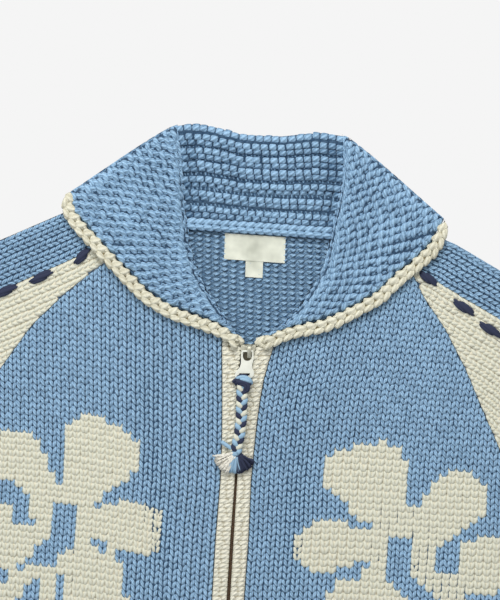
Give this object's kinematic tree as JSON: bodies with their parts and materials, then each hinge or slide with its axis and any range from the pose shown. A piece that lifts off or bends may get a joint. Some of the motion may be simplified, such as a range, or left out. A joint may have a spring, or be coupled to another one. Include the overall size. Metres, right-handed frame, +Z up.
{
  "type": "cowichan cardigan",
  "caption": "Chunky knitted zip cardigan laid flat: shawl collar with chain edging, raglan sleeves, ribbed hem and cuffs, braided zip pull with tassels.",
  "frame": {"origin": "centre of the laid-out cardigan's bounding box, on the surface that it lies on", "axes": "+X across the garment toward the sleeve on the right as seen from above, +Y toward the collar, +Z up"},
  "size_m": [1.2768, 0.7402, 0.0214],
  "materials": {
    "knit_blue": "heathered chunky wool",
    "knit_cream": "cream chunky wool",
    "tape_brown": "woven zip tape",
    "nickel": "satin nickel",
    "yarn_braid": "braided wool of three colours",
    "yarn_cream": "loose wool",
    "yarn_sky": "loose wool",
    "yarn_navy": "loose wool",
    "satin_label": "woven satin"
  },
  "bodies": {
    "garment": {"back": "knit_blue", "front_left": "knit_blue", "front_right": "knit_blue", "sleeve_left": "knit_blue", "sleeve_right": "knit_blue", "cuff_left": "knit_blue", "cuff_right": "knit_blue", "hem_left": "knit_blue", "hem_right": "knit_blue", "hem_back": "knit_blue", "collar": "knit_blue", "neck_chain": "knit_blue", "edging_left": "knit_cream", "edging_right": "knit_cream", "zip_band_left": "knit_cream", "zip_band_right": "knit_cream", "zip_tape_left": "tape_brown", "zip_tape_right": "tape_brown", "zip_slider": "nickel", "zip_stop": "nickel", "neck_label": "satin_label", "size_label": "satin_label"},
    "pull": {"pull_tab": "nickel", "braid": "yarn_braid", "tassel_cream": "yarn_cream", "tassel_sky": "yarn_sky", "tassel_navy": "yarn_navy"}
  },
  "joints": [
    {"name": "pull_tab_hinge", "type": "hinge", "parent": "garment", "child": "pull", "pos_m": [0.05379, 0.14278, 0.013], "axis": [-1, 0, 0], "range_deg": [0, 140]}
  ]
}
